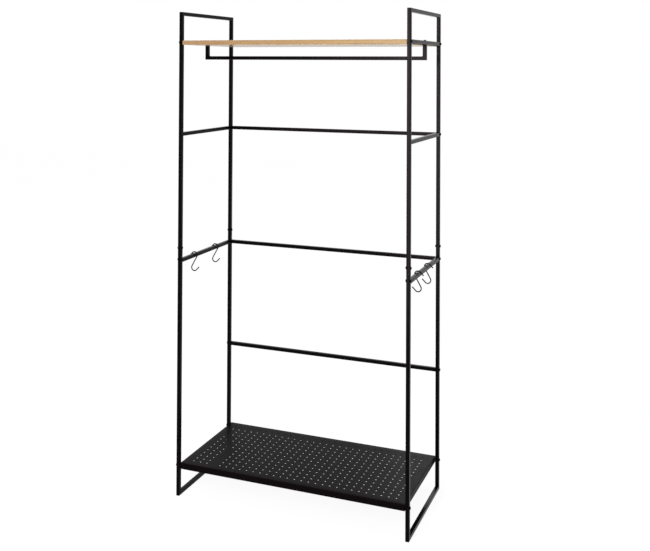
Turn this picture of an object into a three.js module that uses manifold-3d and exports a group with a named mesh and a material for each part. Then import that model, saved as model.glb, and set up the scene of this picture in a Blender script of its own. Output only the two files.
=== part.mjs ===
// An open frame wardrobe: two side frames of square steel tube, joined by three rails at the back,
// a wooden shelf with a hanging rod under it, and a perforated steel tray above the floor.
// Millimetres. X is the width, Y runs from the front (-) to the back (+), Z is up from the floor.

import * as THREE from 'three';
import { mergeVertices } from 'three/addons/utils/BufferGeometryUtils.js';
import Module from 'manifold-3d';

const wasm = await Module();
wasm.setup();

// Outer sizes of the frame, over its tubes.
const WIDTH = 970;
const DEPTH = 460;
const HEIGHT = 1950;

// Square tube, and the clearance left between pieces that touch.
const TUBE = 15;
const TUBE_WALL = 1.2;
const TUBE_CORNER = 1.5;
const END_PLATE = 4;
const GAP = 0.3;

// How far a cut reaches past the face that it goes through.
const CUT_OVERRUN = 1;

// Heights of the upper faces.
const SHELF_TOP = 1834;
const MID_RAIL_TOP = 1462;
const HOOK_RAIL_TOP = 951;
const LOW_RAIL_TOP = 496;
const TRAY_TOP = 133;

// Where the posts come apart, and the bolts that hold the two halves.
const POST_SPLIT = 971.5;
const CONNECTOR_LENGTH = 100;
const UPPER_BOLT_HEIGHT = 995;
const LOWER_BOLT_HEIGHT = 948;

// Wooden shelf and the rod under it.
const SHELF_THICKNESS = 18;
const SHELF_PILOT_DEPTH = 32;
const PILOT_SPARE = 2;
const ROD_BOTTOM = 1758;

// Perforated tray: a sheet with its four edges folded down, and a threaded block in each corner.
const SHEET = 1.2;
const TRAY_LIP = 24;
const TRAY_SIDE_CLEARANCE = 2;
const TRAY_SETBACK = 1;
const HOLE_COLUMNS = 30;
const HOLE_ROWS = 14;
const HOLE_PITCH = 29.35;
const HOLE_DIAMETER = 6;
const HOLE_SIDES = 6;
const BLOCK_THICKNESS = 8;
const BLOCK_WIDTH = 13;
const BLOCK_INSET = 3;

// Button head screws, bolts and cap nuts.
const SHANK_RADIUS = 3;
const SHANK_PAST_THREAD = 3;
const BORE_RADIUS = 3.35;
const HEAD_RADIUS = 5.75;
const HEAD_HEIGHT = 3.3;
const NUT_BORE_DEPTH = 2;
const SHANK_IN_NUT = 1.6;
const ROUND_SIDES = 10;

// S-shaped hooks of round wire, two on each hook rail.
const WIRE = 4.5;
const HOOK_HEIGHT = 83;
const HOOK_BEND = 13;
const HOOK_TIP = 19;
const HOOK_TIP_ANGLE = Math.PI / 4;
const HOOK_REST_GAP = 0.45;
const WIRE_SIDES = 8;
const HOOK_STEPS = 28;
const HOOK_PLACES = { left: { front: -104, back: 82 }, right: { front: -91, back: 54 } };

const POST_X = (WIDTH - TUBE) / 2;
const POST_Y = (DEPTH - TUBE) / 2;
const INNER_X = WIDTH / 2 - TUBE;
const INNER_Y = DEPTH / 2 - TUBE;
const CAVITY = TUBE - 2 * TUBE_WALL;
const PLATE_CUT = 2 * (END_PLATE + CUT_OVERRUN);

const STEEL = { color: 0x17161a, roughness: 0.55, metalness: 0.3 };
const TRAY_STEEL = { color: 0x35323a, roughness: 0.45, metalness: 0.3 };
const INSERT_STEEL = { color: 0x8b8d90, roughness: 0.4, metalness: 0.9 };
const OAK = { color: 0xcfa670, roughness: 0.6, metalness: 0 };

// A bar is made along its own Z. Each turn takes that Z to the world axis of its name.
// A post's ends slope along the world Y. A rail's ends slope along the world Z, the other way up along Y.
const TURNS = {
  x: new THREE.Matrix4().makeBasis(
    new THREE.Vector3(0, 1, 0), new THREE.Vector3(0, 0, 1), new THREE.Vector3(1, 0, 0)),
  y: new THREE.Matrix4().makeBasis(
    new THREE.Vector3(1, 0, 0), new THREE.Vector3(0, 0, -1), new THREE.Vector3(0, 1, 0)),
  z: new THREE.Matrix4(),
};

function merged(geometry) {
  const bare = geometry.clone();
  bare.deleteAttribute('normal');
  bare.deleteAttribute('uv');
  return mergeVertices(bare);
}

function toSolid(geometry) {
  const mesh = merged(geometry);
  return new wasm.Manifold(new wasm.Mesh({
    numProp: 3,
    vertProperties: new Float32Array(mesh.attributes.position.array),
    triVerts: new Uint32Array(mesh.index.array),
  }));
}

function toGeometry(solid) {
  const mesh = solid.getMesh();
  const geometry = new THREE.BufferGeometry();
  geometry.setAttribute('position', new THREE.BufferAttribute(mesh.vertProperties, 3));
  geometry.setIndex(new THREE.BufferAttribute(mesh.triVerts, 1));
  return geometry;
}

// A square outline about the origin, with each corner rounded in two steps.
function squareOutline(side, corner) {
  const half = side / 2;
  const inner = half - corner;
  const shape = new THREE.Shape();
  for (let quarter = 0; quarter < 4; quarter += 1) {
    const start = quarter * Math.PI / 2;
    const x = inner * (quarter === 0 || quarter === 3 ? 1 : -1);
    const y = inner * (quarter < 2 ? 1 : -1);
    if (corner > 0) {
      shape.absarc(x, y, corner, start, start + Math.PI / 2, false);
    } else if (quarter === 0) {
      shape.moveTo(x, y);
    } else {
      shape.lineTo(x, y);
    }
  }
  return shape;
}

function squareExtrusion({ side, corner = 0 }, length) {
  const outline = squareOutline(side, corner);
  return new THREE.ExtrudeGeometry(outline, { depth: length, bevelEnabled: false, curveSegments: 1 });
}

// A square bar from a point along a world axis. A mitre of 1 or -1 slopes that end by 45 degrees.
function squareBar({ side, corner, axis, from, length, startMitre = 0, endMitre = 0 }) {
  const geometry = squareExtrusion({ side, corner }, length);
  const points = geometry.attributes.position;
  for (let i = 0; i < points.count; i += 1) {
    const slope = points.getZ(i) < length / 2 ? startMitre : -endMitre;
    points.setZ(i, points.getZ(i) + slope * points.getY(i));
  }
  geometry.applyMatrix4(TURNS[axis]);
  geometry.translate(...from);
  return toSolid(geometry);
}

function box(low, high) {
  const size = low.map((value, i) => high[i] - value);
  const middle = low.map((value, i) => (high[i] + value) / 2);
  return toSolid(new THREE.BoxGeometry(...size).translate(...middle));
}

function bore(axis, centre, length) {
  const geometry = new THREE.CylinderGeometry(BORE_RADIUS, BORE_RADIUS, length, ROUND_SIDES);
  geometry.rotateX(Math.PI / 2);
  geometry.applyMatrix4(TURNS[axis]);
  geometry.translate(...centre);
  return toSolid(geometry);
}

// A hollow tube. With an end plate its ends are closed by a plate that the bores go through.
function tube({ axis, from, length, startMitre = 0, endMitre = 0, endPlate = 0, bores = [] }) {
  const run = { axis, startMitre, endMitre };
  const outer = squareBar({ ...run, side: TUBE, corner: TUBE_CORNER, from, length });
  const reach = endPlate > 0 ? -endPlate : TUBE;
  const inset = { x: [1, 0, 0], y: [0, 1, 0], z: [0, 0, 1] }[axis];
  const cavityFrom = from.map((value, i) => value - reach * inset[i]);
  const cavity = squareBar({ side: CAVITY, axis, from: cavityFrom, length: length + 2 * reach });
  return bores.reduce((solid, hole) => solid.subtract(hole), outer.subtract(cavity));
}

function boreAcrossPost(side, y, z) {
  return bore('x', [side * POST_X, y, z], TUBE + 2 * CUT_OVERRUN);
}

// The two halves of a post. The mitred ends meet the top rail and the floor rail.
function upperPost(side, row) {
  const y = row * POST_Y;
  const from = [side * POST_X, y, POST_SPLIT + GAP / 2];
  const heights = [UPPER_BOLT_HEIGHT, SHELF_TOP - TUBE / 2];
  if (row > 0) {
    heights.push(MID_RAIL_TOP - TUBE / 2);
  }
  const bores = heights.map((z) => boreAcrossPost(side, y, z));
  return tube({ axis: 'z', from, length: HEIGHT - TUBE / 2 - from[2], endMitre: -row, bores });
}

function lowerBoltHeight(row) {
  return row > 0 ? HOOK_RAIL_TOP - TUBE / 2 : LOWER_BOLT_HEIGHT;
}

function lowerPost(side, row) {
  const y = row * POST_Y;
  const heights = [lowerBoltHeight(row), TRAY_TOP - TRAY_LIP / 2];
  if (row > 0) {
    heights.push(LOW_RAIL_TOP - TUBE / 2);
  }
  const bores = heights.map((z) => boreAcrossPost(side, y, z));
  const length = POST_SPLIT - GAP / 2 - TUBE / 2;
  return tube({ axis: 'z', from: [side * POST_X, y, TUBE / 2], length, startMitre: -row, bores });
}

function postConnector(side, row) {
  const y = row * POST_Y;
  const from = [side * POST_X, y, POST_SPLIT - CONNECTOR_LENGTH / 2];
  const bar = squareBar({ side: CAVITY - 2 * GAP, axis: 'z', from, length: CONNECTOR_LENGTH });
  return [UPPER_BOLT_HEIGHT, lowerBoltHeight(row)]
    .reduce((solid, z) => solid.subtract(boreAcrossPost(side, y, z)), bar);
}

// Rails of a side frame. The top and floor rails are mitred, the others butt between the posts.
function mitredRail(side, top) {
  const mitre = top > HEIGHT / 2 ? 1 : -1;
  const start = POST_Y - GAP * Math.SQRT2;
  const from = [side * POST_X, -start, top - TUBE / 2];
  return tube({ axis: 'y', from, length: 2 * start, startMitre: mitre, endMitre: mitre });
}

function sideRail(side, top, bores = []) {
  const start = INNER_Y - GAP;
  return tube({ axis: 'y', from: [side * POST_X, -start, top - TUBE / 2], length: 2 * start, bores });
}

function backRail(top) {
  const end = INNER_X - GAP;
  const z = top - TUBE / 2;
  const bores = [-1, 1].map((side) => bore('x', [side * end, POST_Y, z], PLATE_CUT));
  return tube({ axis: 'x', from: [-end, POST_Y, z], length: 2 * end, endPlate: END_PLATE, bores });
}

// The rod hangs from the shelf's side rails by two drops, mitred to it and closed at the top.
function garmentRod() {
  const middle = ROD_BOTTOM + TUBE / 2;
  const dropLength = SHELF_TOP - TUBE - GAP - middle;
  const parts = { outer: { side: TUBE, corner: TUBE_CORNER }, cavity: { side: CAVITY } };
  const [outer, cavity] = Object.entries(parts).map(([name, section]) => {
    const length = dropLength - (name === 'cavity' ? END_PLATE : 0);
    const run = { axis: 'x', from: [-POST_X, 0, middle], length: 2 * POST_X, startMitre: 1, endMitre: 1 };
    const drops = [-1, 1].map((side) => mitredDrop(section, side, middle, length));
    return drops.reduce((solid, drop) => solid.add(drop), squareBar({ ...section, ...run }));
  });
  const bores = [-1, 1].map((side) => bore('z', [side * POST_X, 0, middle + dropLength], PLATE_CUT));
  return bores.reduce((solid, hole) => solid.subtract(hole), outer.subtract(cavity));
}

// A drop's lower end slopes across the width, so it is mitred along Y and then turned about Z.
function mitredDrop(section, side, bottom, length) {
  const geometry = squareExtrusion(section, length);
  const points = geometry.attributes.position;
  for (let i = 0; i < points.count; i += 1) {
    if (points.getZ(i) < length / 2) {
      points.setZ(i, points.getZ(i) - side * points.getX(i));
    }
  }
  geometry.translate(side * POST_X, 0, bottom);
  return toSolid(geometry);
}

function shelfBoard() {
  const halfX = INNER_X - GAP;
  const halfY = DEPTH / 2 - GAP;
  const board = box([-halfX, -halfY, SHELF_TOP - SHELF_THICKNESS], [halfX, halfY, SHELF_TOP]);
  const pilots = [];
  for (const side of [-1, 1]) {
    for (const row of [-1, 1]) {
      pilots.push(bore('x', [side * halfX, row * POST_Y, SHELF_TOP - TUBE / 2], 2 * SHELF_PILOT_DEPTH));
    }
  }
  return pilots.reduce((solid, hole) => solid.subtract(hole), board);
}

// The sheet's round holes are cut with HOLE_SIDES sides, of the same area as the round hole.
function holeOutline(column, row) {
  const x = (column - (HOLE_COLUMNS - 1) / 2) * HOLE_PITCH;
  const y = (row - (HOLE_ROWS - 1) / 2) * HOLE_PITCH;
  const step = 2 * Math.PI / HOLE_SIDES;
  const radius = HOLE_DIAMETER / 2 * Math.sqrt(step / Math.sin(step));
  const corners = [];
  for (let i = 0; i < HOLE_SIDES; i += 1) {
    const angle = (i + 0.5) * step;
    corners.push(new THREE.Vector2(x + radius * Math.cos(angle), y + radius * Math.sin(angle)));
  }
  return new THREE.Shape(corners);
}

function perforatedTray() {
  const halfX = INNER_X - TRAY_SIDE_CLEARANCE;
  const halfY = DEPTH / 2 - TRAY_SETBACK;
  const bottom = TRAY_TOP - TRAY_LIP;
  const outside = box([-halfX, -halfY, bottom], [halfX, halfY, TRAY_TOP]);
  const below = bottom - CUT_OVERRUN;
  const inside = box([SHEET - halfX, SHEET - halfY, below], [halfX - SHEET, halfY - SHEET, TRAY_TOP - SHEET]);
  const outlines = [];
  for (let column = 0; column < HOLE_COLUMNS; column += 1) {
    for (let row = 0; row < HOLE_ROWS; row += 1) {
      outlines.push(holeOutline(column, row));
    }
  }
  const depth = SHEET + 2 * CUT_OVERRUN;
  const punches = new THREE.ExtrudeGeometry(outlines, { depth, bevelEnabled: false });
  punches.translate(0, 0, TRAY_TOP + CUT_OVERRUN - depth);
  let tray = outside.subtract(inside).subtract(toSolid(punches));
  for (const side of [-1, 1]) {
    for (const row of [-1, 1]) {
      tray = tray.add(trayBlock(side, row, halfX, halfY)).subtract(trayBore(side, row, halfX));
    }
  }
  return tray;
}

function trayBlock(side, row, halfX, halfY) {
  const ends = (sign, outer, width) => [sign * (outer - width), sign * outer].sort((a, b) => a - b);
  const [x0, x1] = ends(side, halfX - SHEET / 2, BLOCK_THICKNESS);
  const [y0, y1] = ends(row, halfY - SHEET / 2, BLOCK_WIDTH);
  const bottom = TRAY_TOP - TRAY_LIP + BLOCK_INSET;
  return box([x0, y0, bottom], [x1, y1, TRAY_TOP - SHEET / 2]);
}

function trayBore(side, row, halfX) {
  const length = 2 * (SHEET + BLOCK_THICKNESS + CUT_OVERRUN);
  return bore('x', [side * halfX, row * POST_Y, TRAY_TOP - TRAY_LIP / 2], length);
}

// Profile of a button head from its rim to its crown, as points of radius and height.
const HEAD_PROFILE = [[1, 0], [1, 0.3], [0.74, 0.8], [0.36, 1], [0, 1]]
  .map(([radius, height]) => new THREE.Vector2(radius * HEAD_RADIUS, height * HEAD_HEIGHT));

// Screws and nuts stand along their own Y, with the head's seat at 0 and its crown up.
function screwGeometry(length) {
  const shank = [[0, -length], [SHANK_RADIUS, -length], [SHANK_RADIUS, 0]];
  const profile = shank.map(([radius, height]) => new THREE.Vector2(radius, height)).concat(HEAD_PROFILE);
  return merged(new THREE.LatheGeometry(profile, ROUND_SIDES));
}

function capNutGeometry() {
  const inside = [[0, NUT_BORE_DEPTH], [BORE_RADIUS, NUT_BORE_DEPTH], [BORE_RADIUS, 0]];
  const profile = inside.map(([radius, height]) => new THREE.Vector2(radius, height)).concat(HEAD_PROFILE);
  return merged(new THREE.LatheGeometry(profile, ROUND_SIDES));
}

// An S in the X-Z plane about its own centre: its lower half is its upper half turned by 180 degrees.
class HookLine extends THREE.Curve {
  constructor() {
    super();
    this.bendHeight = (HOOK_HEIGHT - WIRE) / 2 - HOOK_BEND;
    this.halfShank = Math.sqrt(this.bendHeight ** 2 - HOOK_BEND ** 2);
    this.bendStart = Math.PI + Math.asin(HOOK_BEND / this.bendHeight);
    this.bendLength = HOOK_BEND * (this.bendStart - HOOK_TIP_ANGLE);
    this.halfLength = this.halfShank + this.bendLength + HOOK_TIP;
  }

  onBend(angle) {
    return [HOOK_BEND * Math.cos(angle), this.bendHeight + HOOK_BEND * Math.sin(angle)];
  }

  getPoint(t) {
    const along = (1 - 2 * t) * this.halfLength;
    const half = Math.sign(along);
    const run = Math.abs(along);
    let x;
    let z;
    if (run <= this.halfShank) {
      [x, z] = this.onBend(this.bendStart).map((value) => value * run / this.halfShank);
    } else if (run <= this.halfShank + this.bendLength) {
      [x, z] = this.onBend(this.bendStart - (run - this.halfShank) / HOOK_BEND);
    } else {
      const past = run - this.halfShank - this.bendLength;
      const [endX, endZ] = this.onBend(HOOK_TIP_ANGLE);
      x = endX + past * Math.sin(HOOK_TIP_ANGLE);
      z = endZ - past * Math.cos(HOOK_TIP_ANGLE);
    }
    return new THREE.Vector3(half * x, 0, half * z);
  }
}

function hookGeometry(line) {
  const section = [];
  for (let i = 0; i < WIRE_SIDES; i += 1) {
    const angle = (i + 0.5) * 2 * Math.PI / WIRE_SIDES;
    section.push(new THREE.Vector2(WIRE / 2 * Math.cos(angle), WIRE / 2 * Math.sin(angle)));
  }
  const sweep = { steps: HOOK_STEPS, extrudePath: line, bevelEnabled: false };
  return merged(new THREE.ExtrudeGeometry(new THREE.Shape(section), sweep));
}

// The upper bend rests on the two upper corners of the hook rail.
function hookCentreHeight(line) {
  const bendInside = HOOK_BEND - WIRE / 2 - HOOK_REST_GAP;
  return HOOK_RAIL_TOP - Math.sqrt(bendInside ** 2 - (TUBE / 2) ** 2) - line.bendHeight;
}

const wardrobe = new THREE.Group();

function addMesh(name, geometry, finish) {
  const mesh = new THREE.Mesh(geometry, new THREE.MeshStandardMaterial(finish));
  mesh.name = name;
  wardrobe.add(mesh);
  return mesh;
}

// Heads face outward from the side frame on its outer face, and nuts inward on its inner face.
function addAcross(name, geometry, side, y, z, facing) {
  const mesh = addMesh(name, geometry, STEEL);
  const seat = facing > 0 ? WIDTH / 2 + GAP : INNER_X - GAP;
  mesh.position.set(side * seat, y, z);
  mesh.rotation.z = -side * facing * Math.PI / 2;
}

const boltGeometry = screwGeometry(TUBE + 2 * GAP + SHANK_IN_NUT);
const railScrewGeometry = screwGeometry(TUBE + END_PLATE + SHANK_PAST_THREAD);
const trayScrewGeometry = screwGeometry(TUBE + TRAY_SIDE_CLEARANCE + BLOCK_THICKNESS + SHANK_PAST_THREAD);
const shelfScrewGeometry = screwGeometry(TUBE + SHELF_PILOT_DEPTH - PILOT_SPARE);
const nutGeometry = capNutGeometry();
const hookLine = new HookLine();
const hookShape = hookGeometry(hookLine);

for (const [sideName, side] of [['left', -1], ['right', 1]]) {
  const rodBore = bore('z', [side * POST_X, 0, SHELF_TOP - TUBE / 2], TUBE + 2 * CUT_OVERRUN);
  addMesh(`${sideName}_top_rail`, toGeometry(mitredRail(side, HEIGHT)), STEEL);
  addMesh(`${sideName}_shelf_rail`, toGeometry(sideRail(side, SHELF_TOP, [rodBore])), STEEL);
  addMesh(`${sideName}_mid_rail`, toGeometry(sideRail(side, MID_RAIL_TOP)), STEEL);
  addMesh(`${sideName}_hook_rail`, toGeometry(sideRail(side, HOOK_RAIL_TOP)), STEEL);
  addMesh(`${sideName}_floor_rail`, toGeometry(mitredRail(side, TUBE)), STEEL);

  for (const [rowName, row] of [['front', -1], ['back', 1]]) {
    const y = row * POST_Y;
    const place = `${sideName}_${rowName}`;
    addMesh(`${place}_upper_post`, toGeometry(upperPost(side, row)), STEEL);
    addMesh(`${place}_lower_post`, toGeometry(lowerPost(side, row)), STEEL);
    addMesh(`${place}_post_connector`, toGeometry(postConnector(side, row)), INSERT_STEEL);
    addAcross(`${place}_upper_bolt`, boltGeometry, side, y, UPPER_BOLT_HEIGHT, 1);
    addAcross(`${place}_upper_nut`, nutGeometry, side, y, UPPER_BOLT_HEIGHT, -1);
    addAcross(`${place}_shelf_screw`, shelfScrewGeometry, side, y, SHELF_TOP - TUBE / 2, 1);
    addAcross(`${place}_tray_screw`, trayScrewGeometry, side, y, TRAY_TOP - TRAY_LIP / 2, 1);

    const hook = addMesh(`${place}_hook`, hookShape, STEEL);
    hook.position.set(side * POST_X, HOOK_PLACES[sideName][rowName], hookCentreHeight(hookLine));
    hook.rotation.z = side > 0 ? 0 : Math.PI;
  }
  addAcross(`${sideName}_front_lower_bolt`, boltGeometry, side, -POST_Y, LOWER_BOLT_HEIGHT, 1);
  addAcross(`${sideName}_front_lower_nut`, nutGeometry, side, -POST_Y, LOWER_BOLT_HEIGHT, -1);

  const railHeights = { upper: MID_RAIL_TOP, middle: HOOK_RAIL_TOP, lower: LOW_RAIL_TOP };
  for (const [level, top] of Object.entries(railHeights)) {
    addAcross(`${sideName}_${level}_back_rail_screw`, railScrewGeometry, side, POST_Y, top - TUBE / 2, 1);
  }
  const rodScrew = addMesh(`${sideName}_rod_screw`, railScrewGeometry, STEEL);
  rodScrew.position.set(side * POST_X, 0, SHELF_TOP + GAP);
  rodScrew.rotation.x = Math.PI / 2;
}

addMesh('upper_back_rail', toGeometry(backRail(MID_RAIL_TOP)), STEEL);
addMesh('middle_back_rail', toGeometry(backRail(HOOK_RAIL_TOP)), STEEL);
addMesh('lower_back_rail', toGeometry(backRail(LOW_RAIL_TOP)), STEEL);
addMesh('garment_rod', toGeometry(garmentRod()), STEEL);
addMesh('shelf_board', toGeometry(shelfBoard()), OAK);
addMesh('perforated_tray', toGeometry(perforatedTray()), TRAY_STEEL);

export default wardrobe;
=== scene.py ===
import math
import random

import bmesh
import bpy
from mathutils import Matrix, Vector


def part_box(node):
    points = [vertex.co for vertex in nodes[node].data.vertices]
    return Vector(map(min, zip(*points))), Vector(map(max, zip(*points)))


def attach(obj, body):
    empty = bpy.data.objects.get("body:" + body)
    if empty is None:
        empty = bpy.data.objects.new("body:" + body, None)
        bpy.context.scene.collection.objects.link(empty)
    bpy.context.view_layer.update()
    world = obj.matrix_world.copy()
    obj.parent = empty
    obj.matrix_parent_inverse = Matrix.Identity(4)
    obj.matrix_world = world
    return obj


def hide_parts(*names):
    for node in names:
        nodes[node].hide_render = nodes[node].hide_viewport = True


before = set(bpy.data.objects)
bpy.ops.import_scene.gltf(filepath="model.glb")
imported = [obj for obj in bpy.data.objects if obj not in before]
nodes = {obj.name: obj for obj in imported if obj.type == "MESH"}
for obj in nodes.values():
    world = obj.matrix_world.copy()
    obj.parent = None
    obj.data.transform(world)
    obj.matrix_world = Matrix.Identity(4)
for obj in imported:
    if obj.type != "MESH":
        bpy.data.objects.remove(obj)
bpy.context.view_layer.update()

# Camera of the photograph, as solved from the frame's edges. Places are in metres.
IMAGE_WIDTH = 650
IMAGE_HEIGHT = 551
FOCAL_PIXELS = 919.004
PRINCIPAL_POINT = (312.643, 53.917)
CAMERA_PLACE = (1.393375, -3.493525, 1.736701)
CAMERA_YAW = math.radians(21.653)
CAMERA_PITCH = math.radians(0.701)
CAMERA_ROLL = math.radians(0.289)
CAMERA_REACH = 100.0
SENSOR_WIDTH = 36.0

# Lamps: name, place, the point that it faces, width, height and power.
LAMPS = (
    ("key_low", (-0.22, -2.7, 0.55), (0.1, 0, 0.55), 0.45, 0.8, 10),
    ("key_middle", (-0.22, -2.7, 1.3), (0.1, 0, 1.3), 0.45, 0.7, 13.5),
    ("key_high", (-0.22, -2.7, 2.1), (0.1, 0, 2.1), 0.45, 0.9, 23),
    ("left", (-0.7, -2.7, 1.7), (0, 0, 1.7), 0.4, 1.6, 9),
    ("far_left", (-1.15, -2.7, 1.3), (0, 0, 1.3), 0.6, 0.8, 5.5),
    ("fill", (1.7, -1.7, 2.4), (0.3, 0, 1.7), 1.0, 1.0, 3),
    ("overhead", (0, 0.2, 4.2), (0, 0, 0), 3.0, 2.4, 42),
    ("behind", (0.15, 1.6, 0.85), (0.35, 0.1, 0.13), 0.5, 0.5, 1.7),
)

# World and floor. The glow's near and far levels hold at these distances from the object.
WHITE = (1, 1, 1, 1)
WORLD_LEVEL = 0.2
BACKGROUND_LEVEL = 1
FLOOR_REACH = 12
FLOOR_CELLS = 8
FLOOR_GREY = 0.2
FLOOR_BOUNCE = 0.35
NEAR_GLOW, NEAR_DISTANCE = 0.92, 1.0
FAR_GLOW, FAR_DISTANCE = 0.955, 5.0

# Frame measures, in metres, as in the part's source.
SIDES = (("left", -1), ("right", 1))
ROWS = (("front", -1), ("back", 1))
POST_X = 0.4775
POST_Y = 0.2225
INNER_X = 0.470
TUBE = 0.015
SIDE_RAIL_TOPS = (1.834, 1.462, 0.951)
ROD_DROP_FOOT = 1.773


# Studio.

def new_node(tree, kind, inputs=None, **properties):
    """A node with the given properties, and with values in the given inputs."""
    node = tree.nodes.new(kind)
    for key, value in properties.items():
        setattr(node, key, value)
    for key, value in (inputs or {}).items():
        node.inputs[key].default_value = value
    return node


def add_camera():
    sin_yaw, cos_yaw = math.sin(CAMERA_YAW), math.cos(CAMERA_YAW)
    sin_pitch, cos_pitch = math.sin(CAMERA_PITCH), math.cos(CAMERA_PITCH)
    forward = Vector((-sin_yaw * cos_pitch, cos_yaw * cos_pitch, sin_pitch))
    right = Vector((cos_yaw, sin_yaw, 0))
    up = right.cross(forward)
    sin_roll, cos_roll = math.sin(CAMERA_ROLL), math.cos(CAMERA_ROLL)
    rolled_right = right * cos_roll + up * sin_roll
    rolled_up = up * cos_roll - right * sin_roll
    data = bpy.data.cameras.new("photo_camera")
    data.sensor_fit = "HORIZONTAL"
    data.sensor_width = SENSOR_WIDTH
    data.lens = FOCAL_PIXELS / IMAGE_WIDTH * SENSOR_WIDTH
    data.shift_x = (IMAGE_WIDTH / 2 - PRINCIPAL_POINT[0]) / IMAGE_WIDTH
    data.shift_y = (PRINCIPAL_POINT[1] - IMAGE_HEIGHT / 2) / IMAGE_WIDTH
    data.clip_end = CAMERA_REACH
    camera = bpy.data.objects.new("photo_camera", data)
    bpy.context.collection.objects.link(camera)
    turn = Matrix((rolled_right, rolled_up, -forward)).transposed().to_4x4()
    camera.matrix_world = Matrix.Translation(CAMERA_PLACE) @ turn
    bpy.context.scene.camera = camera


def add_lamp(name, place, target, width, height, power):
    data = bpy.data.lights.new(name, "AREA")
    data.shape = "RECTANGLE"
    data.size = width
    data.size_y = height
    data.energy = power
    lamp = bpy.data.objects.new(name, data)
    lamp.location = place
    lamp.rotation_euler = (Vector(target) - Vector(place)).to_track_quat("-Z", "Y").to_euler()
    bpy.context.collection.objects.link(lamp)


def seen_directly(tree):
    """A factor that is 1 for camera, glossy and transmission rays and 0 for the rest."""
    path = new_node(tree, "ShaderNodeLightPath")
    first = new_node(tree, "ShaderNodeMath", operation="MAXIMUM")
    second = new_node(tree, "ShaderNodeMath", operation="MAXIMUM")
    tree.links.new(path.outputs["Is Camera Ray"], first.inputs[0])
    tree.links.new(path.outputs["Is Glossy Ray"], first.inputs[1])
    tree.links.new(first.outputs[0], second.inputs[0])
    tree.links.new(path.outputs["Is Transmission Ray"], second.inputs[1])
    return second.outputs[0]


def set_world():
    """A white background over a plain low light from all sides."""
    world = bpy.data.worlds.new("studio")
    world.use_nodes = True
    tree = world.node_tree
    tree.nodes.clear()
    light = new_node(tree, "ShaderNodeBackground", {"Color": WHITE, "Strength": WORLD_LEVEL})
    white = new_node(tree, "ShaderNodeBackground", {"Color": WHITE, "Strength": BACKGROUND_LEVEL})
    mix = new_node(tree, "ShaderNodeMixShader")
    out = new_node(tree, "ShaderNodeOutputWorld")
    tree.links.new(seen_directly(tree), mix.inputs[0])
    tree.links.new(light.outputs[0], mix.inputs[1])
    tree.links.new(white.outputs[0], mix.inputs[2])
    tree.links.new(mix.outputs[0], out.inputs["Surface"])
    bpy.context.scene.world = world


def floor_material():
    """White by its own glow, which rises away from the object, where less of the lamps' light falls."""
    material = bpy.data.materials.new("studio_floor")
    material.use_nodes = True
    tree = material.node_tree
    tree.nodes.clear()
    diffuse = new_node(tree, "ShaderNodeBsdfDiffuse", {"Color": (FLOOR_GREY, FLOOR_GREY, FLOOR_GREY, 1)})
    glow = new_node(tree, "ShaderNodeEmission", {"Color": WHITE})
    strength = new_node(tree, "ShaderNodeMapRange", {"To Min": FLOOR_BOUNCE})
    away = new_node(tree, "ShaderNodeVectorMath", operation="LENGTH")
    rise = new_node(tree, "ShaderNodeMapRange", {
        "From Min": NEAR_DISTANCE, "From Max": FAR_DISTANCE, "To Min": NEAR_GLOW, "To Max": FAR_GLOW})
    place = new_node(tree, "ShaderNodeTexCoord")
    add = new_node(tree, "ShaderNodeAddShader")
    out = new_node(tree, "ShaderNodeOutputMaterial")
    tree.links.new(place.outputs["Object"], away.inputs[0])
    tree.links.new(away.outputs["Value"], rise.inputs["Value"])
    tree.links.new(rise.outputs[0], strength.inputs["To Max"])
    tree.links.new(seen_directly(tree), strength.inputs[0])
    tree.links.new(strength.outputs[0], glow.inputs["Strength"])
    tree.links.new(diffuse.outputs[0], add.inputs[0])
    tree.links.new(glow.outputs[0], add.inputs[1])
    tree.links.new(add.outputs[0], out.inputs["Surface"])
    return material


def add_floor():
    """A white floor that keeps a faint shadow."""
    bm = bmesh.new()
    bmesh.ops.create_grid(bm, x_segments=FLOOR_CELLS, y_segments=FLOOR_CELLS, size=FLOOR_REACH)
    data = bpy.data.meshes.new("floor")
    bm.to_mesh(data)
    bm.free()
    floor = bpy.data.objects.new("floor", data)
    bpy.context.collection.objects.link(floor)
    floor.data.materials.append(floor_material())


# Materials.

# Sockets of a mix node that is set to colours.
MIX_FIRST, MIX_SECOND, MIX_RESULT = 6, 7, 2


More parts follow.
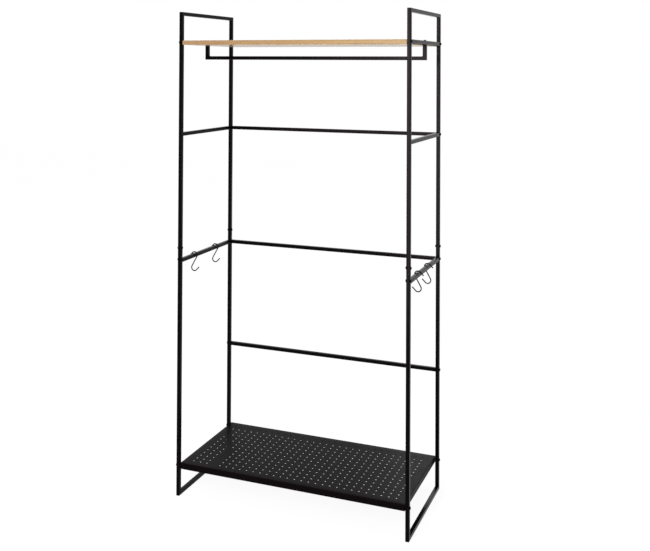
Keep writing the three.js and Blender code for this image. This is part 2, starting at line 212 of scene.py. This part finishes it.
class Shader:
    """A material with one principled shader, and helpers that add nodes to it."""

    def __init__(self, name):
        self.material = bpy.data.materials.new(name)
        self.material.use_nodes = True
        self.tree = self.material.node_tree
        self.surface = self.tree.nodes["Principled BSDF"]
        self.place = self.node("ShaderNodeTexCoord").outputs["Object"]

    def node(self, kind, inputs=None, **properties):
        return new_node(self.tree, kind, inputs, **properties)

    def link(self, source, target):
        self.tree.links.new(source, target)

    def set(self, **values):
        for key, value in values.items():
            self.surface.inputs[key.replace("_", " ")].default_value = value

    def feed(self, name, source):
        self.link(source, self.surface.inputs[name])

    def stretched(self, scale):
        mapping = self.node("ShaderNodeMapping", {"Scale": scale})
        self.link(self.place, mapping.inputs["Vector"])
        return mapping.outputs[0]

    def noise(self, vector, scale, detail, roughness=0.5, distortion=0.0):
        noise = self.node("ShaderNodeTexNoise", {
            "Scale": scale, "Detail": detail, "Roughness": roughness, "Distortion": distortion})
        self.link(vector, noise.inputs["Vector"])
        return noise.outputs["Fac"]

    def axis(self, vector, letter):
        split = self.node("ShaderNodeSeparateXYZ")
        self.link(vector, split.inputs[0])
        return split.outputs[letter]

    def maths(self, operation, source, inputs=None):
        node = self.node("ShaderNodeMath", inputs, operation=operation)
        self.link(source, node.inputs[0])
        return node.outputs[0]

    def spread(self, factor, low, high):
        node = self.node("ShaderNodeMapRange", {"To Min": low, "To Max": high})
        self.link(factor, node.inputs["Value"])
        return node.outputs["Result"]

    def ramp(self, factor, stops):
        """Colours by position. A new stop stands anywhere until its own position is set."""
        ramp = self.node("ShaderNodeValToRGB")
        elements = ramp.color_ramp.elements
        while len(elements) < len(stops):
            elements.new(0.5)
        for element, (position, colour) in zip(elements, stops):
            element.position = position
            element.color = (*colour, 1)
        self.link(factor, ramp.inputs[0])
        return ramp.outputs[0]

    def mix(self, factor, first, second, blend="MIX"):
        node = self.node("ShaderNodeMix", {"Factor": factor}, data_type="RGBA", blend_type=blend)
        for source, socket in ((first, node.inputs[MIX_FIRST]), (second, node.inputs[MIX_SECOND])):
            if isinstance(source, tuple):
                socket.default_value = (*source, 1)
            else:
                self.link(source, socket)
        return node.outputs[MIX_RESULT]

    def multiply(self, colour, *others):
        for other in others:
            colour = self.mix(1.0, colour, other, "MULTIPLY")
        return colour

    def bump(self, height, distance, strength):
        node = self.node("ShaderNodeBump", {"Distance": distance, "Strength": strength})
        self.link(height, node.inputs["Height"])
        self.feed("Normal", node.outputs["Normal"])


COAT_TINT = (1.0, 0.84, 0.88, 1.0)
COAT_TONE_SCALE = 14.0
COAT_TONE_DETAIL = 3.0
COAT_TONE_RANGE = (0.3, 0.7)
COAT_TONE_FACTORS = (0.86, 1.14)
COAT_GLOSS_CHANGE = 0.06
PEEL_DETAIL = 2.0
PEEL_ROUGHNESS = 0.55
PEEL_HEIGHT = 0.0001
PEEL_STRENGTH = 0.32


def powder_coat(name, colour, roughness, level, grain):
    """Baked powder coat: a fine orange peel, with soft changes in tone and gloss."""
    coat = Shader(name)
    coat.set(Metallic=0.0, Specular_IOR_Level=level, Specular_Tint=COAT_TINT)
    cloud = coat.noise(coat.place, COAT_TONE_SCALE, COAT_TONE_DETAIL)
    stops = []
    for position, factor in zip(COAT_TONE_RANGE, COAT_TONE_FACTORS):
        stops.append((position, tuple(channel * factor for channel in colour)))
    coat.feed("Base Color", coat.ramp(cloud, stops))
    coat.feed("Roughness", coat.spread(cloud, roughness - COAT_GLOSS_CHANGE, roughness + COAT_GLOSS_CHANGE))
    coat.bump(coat.noise(coat.place, grain, PEEL_DETAIL, PEEL_ROUGHNESS), PEEL_HEIGHT, PEEL_STRENGTH)
    return coat.material


# Each layer of the oak is a noise stretched along the board, and the colours that it gives.
# A noise has a scale and a detail, and may have a roughness and a distortion.
RING_LIGHT, RING_MIDDLE, RING_DARK = (0.70, 0.47, 0.235), (0.60, 0.375, 0.172), (0.47, 0.27, 0.112)
RING_STOPS = ((0.0, RING_LIGHT), (0.62, RING_MIDDLE), (0.92, RING_DARK), (1.0, RING_LIGHT))
RING_STRETCH = (0.34, 4.2, 4.2)
RING_NOISE = (1.0, 2.0, 0.42, 0.25)
RING_COUNT = 26.0
RING_SHARE = 0.55
PLAIN_OAK = (0.64, 0.415, 0.198)
BAND_STRETCH = (0.9, 6.0, 6.0)
BAND_NOISE = (1.0, 3.0, 0.6)
BAND_STOPS = ((0.32, (0.80, 0.80, 0.80)), (0.68, (1.0, 1.0, 1.0)))
FIBRE_STRETCH = (9.0, 420.0, 420.0)
FIBRE_NOISE = (1.0, 3.0, 0.65)
FIBRE_STOPS = ((0.36, (0.86, 0.83, 0.80)), (0.62, (1.0, 1.0, 1.0)))
FIBRE_ROUGHNESS = (0.62, 0.42)
FIBRE_HEIGHT = 0.00025
FIBRE_STRENGTH = 0.5
PORE_STRETCH = (60.0, 1300.0, 1300.0)
PORE_NOISE = (1.0, 1.0)
PORE_STOPS = ((0.29, (0.62, 0.55, 0.48)), (0.36, (1.0, 1.0, 1.0)))
# Painted shade: these colours darken the board towards its left end, where less light falls, and lighten its
# right end.
PAINTED_FALLOFF_STOPS = ((0.0, (0.745, 0.73, 0.81)), (0.62, (0.89, 0.865, 0.825)), (1.0, (1.04, 1.05, 1.03)))
OAK_LEVEL = 0.12
LACQUER_ROUGHNESS = 0.16
LACQUER_ON_EDGES, LACQUER_ON_FACES = 0.08, 0.62


def oak_board():
    """Light oak with its grain along the board, open pores and a satin lacquer.

    Its figure is made of the contour lines of a smooth noise, and painted shade darkens it towards its left
    end.
    """
    oak = Shader("light_oak")
    oak.set(Metallic=0.0, Specular_IOR_Level=OAK_LEVEL, Coat_Roughness=LACQUER_ROUGHNESS)
    normal = oak.node("ShaderNodeTexCoord").outputs["Normal"]
    upright = oak.maths("ABSOLUTE", oak.axis(normal, "Z"))
    oak.feed("Coat Weight", oak.spread(upright, LACQUER_ON_EDGES, LACQUER_ON_FACES))
    growth = oak.noise(oak.stretched(RING_STRETCH), *RING_NOISE)
    ring = oak.maths("FRACT", oak.maths("MULTIPLY", growth, {1: RING_COUNT}))
    rings = oak.mix(RING_SHARE, PLAIN_OAK, oak.ramp(ring, RING_STOPS))
    bands = oak.ramp(oak.noise(oak.stretched(BAND_STRETCH), *BAND_NOISE), BAND_STOPS)
    fibre = oak.noise(oak.stretched(FIBRE_STRETCH), *FIBRE_NOISE)
    pores = oak.ramp(oak.noise(oak.stretched(PORE_STRETCH), *PORE_NOISE), PORE_STOPS)
    # Painted shade: a ramp along the board darkens its left end and lightens its right end, as the light
    # falls.
    along = oak.node("ShaderNodeMapRange", {"From Min": -INNER_X, "From Max": INNER_X})
    oak.link(oak.axis(oak.place, "X"), along.inputs["Value"])
    tone = oak.ramp(along.outputs["Result"], PAINTED_FALLOFF_STOPS)
    oak.feed("Base Color", oak.multiply(rings, bands, oak.ramp(fibre, FIBRE_STOPS), pores, tone))
    oak.feed("Roughness", oak.spread(fibre, *FIBRE_ROUGHNESS))
    oak.bump(fibre, FIBRE_HEIGHT, FIBRE_STRENGTH)
    return oak.material


STEEL_STRETCH = (900.0, 900.0, 20.0)
STEEL_NOISE = (1.0, 3.0)
STEEL_STOPS = ((0.3, (0.42, 0.43, 0.45)), (0.7, (0.60, 0.61, 0.63)))
STEEL_ROUGHNESS = (0.3, 0.5)
STEEL_HEIGHT = 0.0001
STEEL_STRENGTH = 0.4


def brushed_bar():
    """Bare steel, brushed along its length."""
    steel = Shader("bare_steel")
    steel.set(Metallic=1.0)
    lines = steel.noise(steel.stretched(STEEL_STRETCH), *STEEL_NOISE)
    steel.feed("Base Color", steel.ramp(lines, STEEL_STOPS))
    steel.feed("Roughness", steel.spread(lines, *STEEL_ROUGHNESS))
    steel.bump(lines, STEEL_HEIGHT, STEEL_STRENGTH)
    return steel.material


# Each coat has a name, a colour, a roughness, a specular level and the scale of its grain.
FRAME_BLACK = powder_coat("black_powder_coat", (0.0019, 0.0011, 0.0014), 0.2, 0.04, 700.0)
TRAY_BLACK = powder_coat("charcoal_powder_coat", (0.0028, 0.0017, 0.0021), 0.4, 0.03, 900.0)
HOOK_BLACK = powder_coat("satin_black_wire", (0.0030, 0.0027, 0.0028), 0.34, 0.06, 1200.0)
BOLT_BLACK = powder_coat("black_oxide", (0.0030, 0.0026, 0.0028), 0.38, 0.05, 1500.0)
WELD_BLACK = powder_coat("coated_weld", (0.0030, 0.0024, 0.0027), 0.5, 0.045, 500.0)
OAK = oak_board()
STEEL = brushed_bar()


# Shape helpers.

JOIN_DISTANCE = 1e-7
TOUCH_DISTANCE = 1e-6


def shade_by_angle(data, degrees):
    """Smooth faces, with sharp edges where two of them meet at the angle or more."""
    limit = math.radians(degrees)
    bm = bmesh.new()
    bm.from_mesh(data)
    for face in bm.faces:
        face.smooth = True
    for edge in bm.edges:
        edge.smooth = len(edge.link_faces) == 2 and edge.calc_face_angle(0.0) < limit
    bm.to_mesh(data)
    bm.free()


def add_piece(name, bm, material, angle, body="frame", matrix=None):
    bmesh.ops.remove_doubles(bm, verts=bm.verts, dist=JOIN_DISTANCE)
    bmesh.ops.recalc_face_normals(bm, faces=bm.faces)
    if matrix is not None:
        bmesh.ops.transform(bm, matrix=matrix, verts=bm.verts)
    data = bpy.data.meshes.new(name)
    bm.to_mesh(data)
    bm.free()
    shade_by_angle(data, angle)
    data.materials.append(material)
    piece = bpy.data.objects.new(name, data)
    bpy.context.collection.objects.link(piece)
    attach(piece, body)
    return piece


def angles_of(steps):
    return [i * 2 * math.pi / steps for i in range(steps)]


def circle_points(radius, steps):
    return [(radius * math.cos(angle), radius * math.sin(angle)) for angle in angles_of(steps)]


def ring_of(bm, points):
    return [bm.verts.new(point) for point in points]


def bridge(bm, first, second):
    """Quads between two closed rings of as many vertices."""
    count = len(first)
    for i in range(count):
        j = (i + 1) % count
        bm.faces.new((first[i], first[j], second[j], second[i]))


def bridge_touching(bm, first, second):
    """As bridge, but leaves out the sides that have no length."""
    count = len(first)
    for i in range(count):
        j = (i + 1) % count
        corners = []
        for vertex in (first[i], first[j], second[j], second[i]):
            if all((vertex.co - other.co).length > TOUCH_DISTANCE for other in corners):
                corners.append(vertex)
        if len(corners) > 2:
            bm.faces.new(corners)


def bridge_all(bm, rings):
    for first, second in zip(rings, rings[1:]):
        bridge(bm, first, second)


def close_tube(bm, rings):
    bridge_all(bm, rings)
    bm.faces.new(rings[0])
    bm.faces.new(rings[-1])


def middle_and_size(name):
    """Middle and size of a CAD node's box."""
    low, high = (Vector(corner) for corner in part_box(name))
    return (low + high) / 2, high - low


# Perforated tray.

TRAY_HALF_X = 0.468
TRAY_HALF_Y = 0.229
TRAY_TOP = 0.133
TRAY_LIP = 0.024
TRAY_SHARP_ANGLE = 35
SHEET = 0.0012
SHEET_BEND = 0.0024
BEND_STEPS = 5
CORNER_STEPS = 4
SMALLEST_CORNER = 1e-5
HOLE_COLUMNS = 30
HOLE_ROWS = 14
HOLE_PITCH = 0.02935
HOLE_RADIUS = 0.003
HOLE_STEPS = 16
BLOCK_X = 0.0086
BLOCK_Y = 0.0136
BLOCK_ABOVE_LIP = 0.003
BLOCK_BORE_RADIUS = 0.0033
BLOCK_SHARP_ANGLE = 40

# Eased lower edge of the lip: how far in and how far up, as shares of the sheet's thickness.
LIP_EDGE = ((0, 0.4), (0.3, 0), (0.7, 0), (1, 0.4))


def hole_places(count):
    """Centres of the holes in a line across the middle of the tray."""
    return [(cell - (count - 1) / 2) * HOLE_PITCH for cell in range(count)]


def tray_lines(count):
    """Positions of the grid lines and of the points between them, from one side to the other."""
    half = HOLE_PITCH / 2
    inner = half * math.tan(2 * math.pi / HOLE_STEPS)
    values = []
    for middle in hole_places(count):
        values += [middle - half, middle - inner, middle, middle + inner]
    values.append(values[-1] - inner + half)
    return values


def cell_outline():
    """The square about a hole as offsets at the same angles as the hole's own points."""
    half = HOLE_PITCH / 2
    points = []
    for angle in angles_of(HOLE_STEPS):
        reach = half / max(abs(math.cos(angle)), abs(math.sin(angle)))
        points.append((reach * math.cos(angle), reach * math.sin(angle)))
    return points


def tray_ring(bm, inset, z):
    """The tray's outline at a distance in from its outer face, with its corners rounded."""
    xs, ys = tray_lines(HOLE_COLUMNS), tray_lines(HOLE_ROWS)
    half_x, half_y = TRAY_HALF_X - inset, TRAY_HALF_Y - inset
    corner = max(SHEET_BEND - inset, SMALLEST_CORNER)
    points = []

    def turn(centre_x, centre_y, start):
        for i in range(CORNER_STEPS + 1):
            angle = start + i * math.pi / 2 / CORNER_STEPS
            points.append((centre_x + corner * math.cos(angle), centre_y + corner * math.sin(angle), z))

    points += [(x, -half_y, z) for x in xs]
    turn(half_x - corner, -half_y + corner, -math.pi / 2)
    points += [(half_x, y, z) for y in ys]
    turn(half_x - corner, half_y - corner, 0)
    points += [(x, half_y, z) for x in reversed(xs)]
    turn(-half_x + corner, half_y - corner, math.pi / 2)
    points += [(-half_x, y, z) for y in reversed(ys)]
    turn(-half_x + corner, -half_y + corner, math.pi)
    return ring_of(bm, points)


def tray_face(bm, z, bend_ring):
    """One face of the sheet, with its holes. Gives back the rim of each hole."""
    outline = cell_outline()
    circle = circle_points(HOLE_RADIUS, HOLE_STEPS)
    rims = []
    for x in hole_places(HOLE_COLUMNS):
        for y in hole_places(HOLE_ROWS):
            square = ring_of(bm, [(x + dx, y + dy, z) for dx, dy in outline])
            rim = ring_of(bm, [(x + dx, y + dy, z) for dx, dy in circle])
            bridge(bm, square, rim)
            rims.append(rim)
    edge_x, edge_y = HOLE_COLUMNS * HOLE_PITCH / 2, HOLE_ROWS * HOLE_PITCH / 2
    inner = []
    for vertex in bend_ring:
        x = max(-edge_x, min(edge_x, vertex.co.x))
        y = max(-edge_y, min(edge_y, vertex.co.y))
        inner.append((x, y, z))
    bridge_touching(bm, ring_of(bm, inner), bend_ring)
    return rims


def perforated_tray():
    """The sheet from its upper face round the bend and the lip to its lower face."""
    bm = bmesh.new()
    bend_z = TRAY_TOP - SHEET_BEND
    lip_z = TRAY_TOP - TRAY_LIP
    inner_bend = SHEET_BEND - SHEET
    rings = []
    for i in range(BEND_STEPS + 1):
        angle = math.pi / 2 * i / BEND_STEPS
        inset = SHEET_BEND * (1 - math.sin(angle))
        rings.append(tray_ring(bm, inset, TRAY_TOP - SHEET_BEND * (1 - math.cos(angle))))
    for inward, upward in LIP_EDGE:
        rings.append(tray_ring(bm, SHEET * inward, lip_z + SHEET * upward))
    for i in range(BEND_STEPS + 1):
        angle = math.pi / 2 * (1 - i / BEND_STEPS)
        inset = SHEET_BEND - inner_bend * math.sin(angle)
        rings.append(tray_ring(bm, inset, bend_z + inner_bend * math.cos(angle)))
    for first, second in zip(rings, rings[1:]):
        bridge_touching(bm, first, second)
    upper = tray_face(bm, TRAY_TOP, rings[0])
    lower = tray_face(bm, TRAY_TOP - SHEET, rings[-1])
    for upper_rim, lower_rim in zip(upper, lower):
        bridge(bm, upper_rim, lower_rim)
    return bm


def corner_block(side, row):
    """The threaded block welded inside a corner of the tray, with its screw's hole."""
    bm = bmesh.new()
    x_out, y_out = TRAY_HALF_X - SHEET, TRAY_HALF_Y - SHEET
    x_in, y_in = TRAY_HALF_X - BLOCK_X, TRAY_HALF_Y - BLOCK_Y
    low, high = TRAY_TOP - TRAY_LIP + BLOCK_ABOVE_LIP, TRAY_TOP - SHEET
    centre_y, centre_z = POST_Y, TRAY_TOP - TRAY_LIP / 2
    outline = []
    circle = []
    for i in range(HOLE_STEPS):
        angle = (i + 0.5) * 2 * math.pi / HOLE_STEPS
        dy, dz = math.cos(angle), math.sin(angle)
        circle.append((centre_y + BLOCK_BORE_RADIUS * dy, centre_z + BLOCK_BORE_RADIUS * dz))
        reach_y = (y_out if dy > 0 else y_in) - centre_y
        reach_z = (high if dz > 0 else low) - centre_z
        scale = min(reach_y / dy, reach_z / dz)
        outline.append((centre_y + scale * dy, centre_z + scale * dz))
    ends = []
    for x in (x_in, x_out):
        outer = ring_of(bm, [(side * x, row * y, z) for y, z in outline])
        inner = ring_of(bm, [(side * x, row * y, z) for y, z in circle])
        bridge(bm, outer, inner)
        ends.append((outer, inner))
    for first, second in zip(*ends):
        bridge(bm, first, second)
    return bm


def add_tray():
    tray = add_piece("perforated_sheet", perforated_tray(), TRAY_BLACK, TRAY_SHARP_ANGLE)
    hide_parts("perforated_tray")
    for side_name, side in SIDES:
        for row_name, row in ROWS:
            name = f"{side_name}_{row_name}_tray_block"
            block = add_piece(name, corner_block(side, row), TRAY_BLACK, BLOCK_SHARP_ANGLE)
            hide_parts("perforated_tray")


# Hooks of round wire.

HOOK_WIRE = 0.0045
HOOK_HEIGHT = 0.083
HOOK_BEND = 0.013
HOOK_TIP = 0.019
HOOK_TIP_ANGLE = math.pi / 4
HOOK_STEPS = 96
HOOK_SHARP_ANGLE = 60
WIRE_SIDES = 14
CAP_STEPS = 4
CAP_START = 0.4


def hook_line():
    """Points of the S in the X-Z plane about its own centre, from its upper tip to its lower one."""
    bend_height = (HOOK_HEIGHT - HOOK_WIRE) / 2 - HOOK_BEND
    half_shank = math.sqrt(bend_height ** 2 - HOOK_BEND ** 2)
    bend_start = math.pi + math.asin(HOOK_BEND / bend_height)
    bend_length = HOOK_BEND * (bend_start - HOOK_TIP_ANGLE)
    half_length = half_shank + bend_length + HOOK_TIP - HOOK_WIRE / 2

    def on_bend(angle):
        return HOOK_BEND * math.cos(angle), bend_height + HOOK_BEND * math.sin(angle)

    points = []
    for i in range(HOOK_STEPS + 1):
        along = (1 - 2 * i / HOOK_STEPS) * half_length
        run = abs(along)
        if run <= half_shank:
            x, z = (value * run / half_shank for value in on_bend(bend_start))
        elif run <= half_shank + bend_length:
            x, z = on_bend(bend_start - (run - half_shank) / HOOK_BEND)
        else:
            past = run - half_shank - bend_length
            x, z = on_bend(HOOK_TIP_ANGLE)
            x += past * math.sin(HOOK_TIP_ANGLE)
            z -= past * math.cos(HOOK_TIP_ANGLE)
        half = 1 if along >= 0 else -1
        points.append(Vector((half * x, 0, half * z)))
    return points


def wire(points, radius):
    """A round wire along a flat line of points, with rounded ends."""
    bm = bmesh.new()
    across = Vector((0, 1, 0))
    rings = []

    def add_ring(centre, tangent, size):
        normal = across.cross(tangent).normalized()
        circle = []
        for angle in angles_of(WIRE_SIDES):
            circle.append(centre + size * (math.cos(angle) * normal + math.sin(angle) * across))
        rings.append(ring_of(bm, circle))

    cap_angles = [math.pi / 2 * (i + CAP_START) / CAP_STEPS for i in range(CAP_STEPS)]
    first = (points[1] - points[0]).normalized()
    last = (points[-1] - points[-2]).normalized()
    for angle in cap_angles:
        add_ring(points[0] - first * radius * math.cos(angle), first, radius * math.sin(angle))
    for i, point in enumerate(points):
        tangent = (points[min(i + 1, len(points) - 1)] - points[max(i - 1, 0)]).normalized()
        add_ring(point, tangent, radius)
    for angle in reversed(cap_angles):
        add_ring(points[-1] + last * radius * math.cos(angle), last, radius * math.sin(angle))
    close_tube(bm, rings)
    return bm


def add_hooks():
    for side_name, side in SIDES:
        for row_name, _ in ROWS:
            node = f"{side_name}_{row_name}_hook"
            middle, _ = middle_and_size(node)
            matrix = Matrix.Translation(middle) @ Matrix.Diagonal((side, 1, 1, 1))
            hook = add_piece(
                f"{side_name}_{row_name}_s_hook", wire(hook_line(), HOOK_WIRE / 2), HOOK_BLACK,
                HOOK_SHARP_ANGLE, body=node, matrix=matrix)
            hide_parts(node)


# Bolts, screws and nuts with a button head and a hexagon socket.

HEAD_RADIUS = 0.00575
HEAD_HEIGHT = 0.0033
SHANK_RADIUS = 0.003
SHANK_CHAMFER = 0.0006
BOLT_STEPS = 24
BOLT_SHARP_ANGLE = 38
SOCKET_FLATS = 0.004
SOCKET_MOUTH = 1.1
SOCKET_CHAMFER = 0.0003
SCREW_SOCKET_DEPTH = 0.0019
NUT_SOCKET_DEPTH = 0.0009
NUT_CLEARANCE = 0.0003
NUT_MOUTH_DEPTH = 0.002
SIXTH_TURN = math.pi / 3
SPIN_SEED = 11

# The head's skirt and dome, as shares of its radius and of its height.
SKIRT = ((0.96, 0), (1, 0.05), (1, 0.28))
DOME_RADIUS, DOME_SPREAD = 0.44, 0.55
DOME_HEIGHT, DOME_RISE = 0.36, 0.64
DOME_STEPS = 5
DOME_FIRST_ANGLE, DOME_LAST_ANGLE = 12, 67


def lathe_ring(bm, radius, height):
    return ring_of(bm, [(x, y, height) for x, y in circle_points(radius, BOLT_STEPS)])


def hexagon_ring(bm, flats, height):
    """A hexagon with as many points as a lathe ring has."""
    points = []
    for angle in angles_of(BOLT_STEPS):
        off = (angle + SIXTH_TURN / 2) % SIXTH_TURN - SIXTH_TURN / 2
        radius = flats / 2 / math.cos(off)
        points.append((radius * math.cos(angle), radius * math.sin(angle), height))
    return ring_of(bm, points)


def button_head(bm, socket_depth):
    """From the rim of the seat up over the dome and down into the socket. Gives back the rim."""
    rings = [lathe_ring(bm, HEAD_RADIUS * outward, HEAD_HEIGHT * upward) for outward, upward in SKIRT]
    step = (DOME_LAST_ANGLE - DOME_FIRST_ANGLE) / DOME_STEPS
    top = math.sin(math.radians(DOME_LAST_ANGLE))
    for i in range(DOME_STEPS + 1):
        angle = math.radians(DOME_FIRST_ANGLE + i * step)
        radius = HEAD_RADIUS * (DOME_RADIUS + DOME_SPREAD * math.cos(angle))
        rings.append(lathe_ring(bm, radius, HEAD_HEIGHT * (DOME_HEIGHT + DOME_RISE * math.sin(angle) / top)))
    rings.append(hexagon_ring(bm, SOCKET_FLATS * SOCKET_MOUTH, HEAD_HEIGHT))
    rings.append(hexagon_ring(bm, SOCKET_FLATS, HEAD_HEIGHT - SOCKET_CHAMFER))
    rings.append(hexagon_ring(bm, SOCKET_FLATS, HEAD_HEIGHT - socket_depth))
    bridge_all(bm, rings)
    bm.faces.new(rings[-1])
    return rings[0]


def screw(length):
    bm = bmesh.new()
    seat = button_head(bm, SCREW_SOCKET_DEPTH)
    collar = lathe_ring(bm, SHANK_RADIUS, 0)
    neck = lathe_ring(bm, SHANK_RADIUS, SHANK_CHAMFER - length)
    tip = lathe_ring(bm, SHANK_RADIUS - SHANK_CHAMFER, -length)
    bridge_all(bm, [seat, collar, neck, tip])
    bm.faces.new(tip)
    return bm


def cap_nut():
    bm = bmesh.new()
    seat = button_head(bm, NUT_SOCKET_DEPTH)
    mouth = lathe_ring(bm, SHANK_RADIUS + NUT_CLEARANCE, 0)
    end = lathe_ring(bm, SHANK_RADIUS + NUT_CLEARANCE, NUT_MOUTH_DEPTH)
    bridge_all(bm, [seat, mouth, end])
    bm.faces.new(end)
    return bm


def fastener_axes():
    """Each fastener's axis, from its seat to its crown."""
    axes = {}
    for name in nodes:
        side = -1 if name.startswith("left") else 1
        if name.endswith("_rod_screw"):
            axes[name] = Vector((0, 0, 1))
        elif name.endswith("_nut"):
            axes[name] = Vector((-side, 0, 0))
        elif name.endswith(("_bolt", "_screw")):
            axes[name] = Vector((side, 0, 0))
    return axes


def add_fasteners():
    random.seed(SPIN_SEED)
    for name, axis in fastener_axes().items():
        middle, size = middle_and_size(name)
        reach = abs(size.dot(axis))
        crown = middle + axis * reach / 2
        seat = crown - axis * HEAD_HEIGHT
        shape = cap_nut() if name.endswith("_nut") else screw(reach - HEAD_HEIGHT)
        spin = Matrix.Rotation(random.uniform(0, SIXTH_TURN), 4, "Z")
        matrix = Matrix.Translation(seat) @ axis.to_track_quat("Z", "Y").to_matrix().to_4x4() @ spin
        piece = add_piece(f"{name}_fine", shape, BOLT_BLACK, BOLT_SHARP_ANGLE, matrix=matrix)
        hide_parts(name)


# Weld beads in the inner corners of the side frames and of the rod.

WELD_LENGTH = TUBE * 0.82
RAIL_WELD_SIZE = 0.0022
ROD_WELD_SIZE = 0.0026
WELD_STEPS = 18
WELD_ARC_STEPS = 5
WELD_SHARP_ANGLE = 60
WELD_HOLLOW = 0.28
END_SIZE, END_SLOPE = 0.25, 5
RIPPLE_SIZE, RIPPLE_TURN = 0.07, 2.1
RIPPLE_CHANGE = 0.04


def weld_bead(centre, along, first, second, size, seed):
    """A rippled fillet in the corner between two faces, with its own small unevenness."""
    bm = bmesh.new()
    draws = random.Random(seed)
    rings = []
    for i in range(WELD_STEPS + 1):
        share = i / WELD_STEPS
        taper = min(1.0, END_SLOPE * share + END_SIZE, END_SLOPE * (1 - share) + END_SIZE)
        ripple = 1 + RIPPLE_SIZE * math.sin(i * RIPPLE_TURN) + draws.uniform(-RIPPLE_CHANGE, RIPPLE_CHANGE)
        reach = size * taper * ripple
        base = centre + along * (share - 0.5) * WELD_LENGTH
        points = [base]
        for j in range(WELD_ARC_STEPS + 1):
            angle = math.pi / 2 * j / WELD_ARC_STEPS
            bulge = reach * (1 - WELD_HOLLOW * math.sin(2 * angle))
            points.append(base + first * bulge * math.cos(angle) + second * bulge * math.sin(angle))
        rings.append(ring_of(bm, points))
    close_tube(bm, rings)
    return bm


def add_weld(name, *bead):
    add_piece(name, weld_bead(*bead), WELD_BLACK, WELD_SHARP_ANGLE)


def add_welds():
    x_axis, y_axis, z_axis = Vector((1, 0, 0)), Vector((0, 1, 0)), Vector((0, 0, 1))
    number = 0
    for side_name, side in SIDES:
        for level, top in enumerate(SIDE_RAIL_TOPS):
            for row_name, row in ROWS:
                for edge_name, z, up in (("upper", top, 1), ("lower", top - TUBE, -1)):
                    number += 1
                    name = f"weld_{side_name}_{row_name}_{level}_{edge_name}"
                    corner = Vector((side * POST_X, row * (POST_Y - TUBE / 2), z))
                    add_weld(name, corner, x_axis, y_axis * -row, z_axis * up, RAIL_WELD_SIZE, number)
        number += 1
        corner = Vector((side * INNER_X, 0, ROD_DROP_FOOT))
        add_weld(f"weld_{side_name}_rod", corner, y_axis, x_axis * -side, z_axis, ROD_WELD_SIZE, number)


# CAD nodes that stay.

SMOOTH_ANGLE = 50
FLAT_FACE_WEIGHT = 100
BOARD_EDGE = 0.0009
BOARD_EDGE_STEPS = 3
BOARD_EDGE_ANGLE = 60


def smooth_by_angle():
    """A modifier that joins touching points and shades flat only across sharp edges."""
    tree = bpy.data.node_groups.new("smooth_by_angle", "GeometryNodeTree")
    tree.interface.new_socket("Geometry", in_out="INPUT", socket_type="NodeSocketGeometry")
    tree.interface.new_socket("Geometry", in_out="OUTPUT", socket_type="NodeSocketGeometry")
    start = new_node(tree, "NodeGroupInput")
    weld = new_node(tree, "GeometryNodeMergeByDistance", {"Distance": TOUCH_DISTANCE})
    faces = new_node(tree, "GeometryNodeSetShadeSmooth", domain="FACE")
    edges = new_node(tree, "GeometryNodeSetShadeSmooth", domain="EDGE")
    angle = new_node(tree, "GeometryNodeInputMeshEdgeAngle")
    limit = {"B": math.radians(SMOOTH_ANGLE)}
    below = new_node(tree, "FunctionNodeCompare", limit, data_type="FLOAT", operation="LESS_THAN")
    end = new_node(tree, "NodeGroupOutput")
    tree.links.new(start.outputs[0], weld.inputs["Geometry"])
    tree.links.new(weld.outputs["Geometry"], faces.inputs["Geometry"])
    tree.links.new(faces.outputs["Geometry"], edges.inputs["Geometry"])
    tree.links.new(angle.outputs["Unsigned Angle"], below.inputs["A"])
    tree.links.new(below.outputs["Result"], edges.inputs["Shade Smooth"])
    tree.links.new(edges.outputs["Geometry"], end.inputs[0])
    return tree


def dress_node(name, material, smoothing):
    """Gives a CAD node its material and rounded shading."""
    node = nodes[name]
    for slot in node.material_slots:
        slot.material = material
    rounding = node.modifiers.new("rounding", "NODES")
    rounding.node_group = smoothing
    return node


def ease_edges(node):
    edge = node.modifiers.new("edge", "BEVEL")
    edge.width = BOARD_EDGE
    edge.segments = BOARD_EDGE_STEPS
    edge.limit_method = "ANGLE"
    edge.angle_limit = math.radians(BOARD_EDGE_ANGLE)


def flatten_faces(node):
    """Lets the large flat faces set the normals, so that only the rounded edges turn."""
    weighted = node.modifiers.new("flat_faces", "WEIGHTED_NORMAL")
    weighted.keep_sharp = True
    weighted.weight = FLAT_FACE_WEIGHT


def dress_cad_nodes():
    smoothing = smooth_by_angle()
    for name in nodes:
        if name.endswith(("_post", "_rail")) or name == "garment_rod":
            flatten_faces(dress_node(name, FRAME_BLACK, smoothing))
        elif name.endswith("_connector"):
            dress_node(name, STEEL, smoothing)
    board = dress_node("shelf_board", OAK, smoothing)
    ease_edges(board)
    flatten_faces(board)


add_tray()
add_hooks()
add_fasteners()
add_welds()
dress_cad_nodes()

bpy.context.scene.view_settings.view_transform = "Standard"
add_camera()
set_world()
add_floor()
for lamp in LAMPS:
    add_lamp(*lamp)
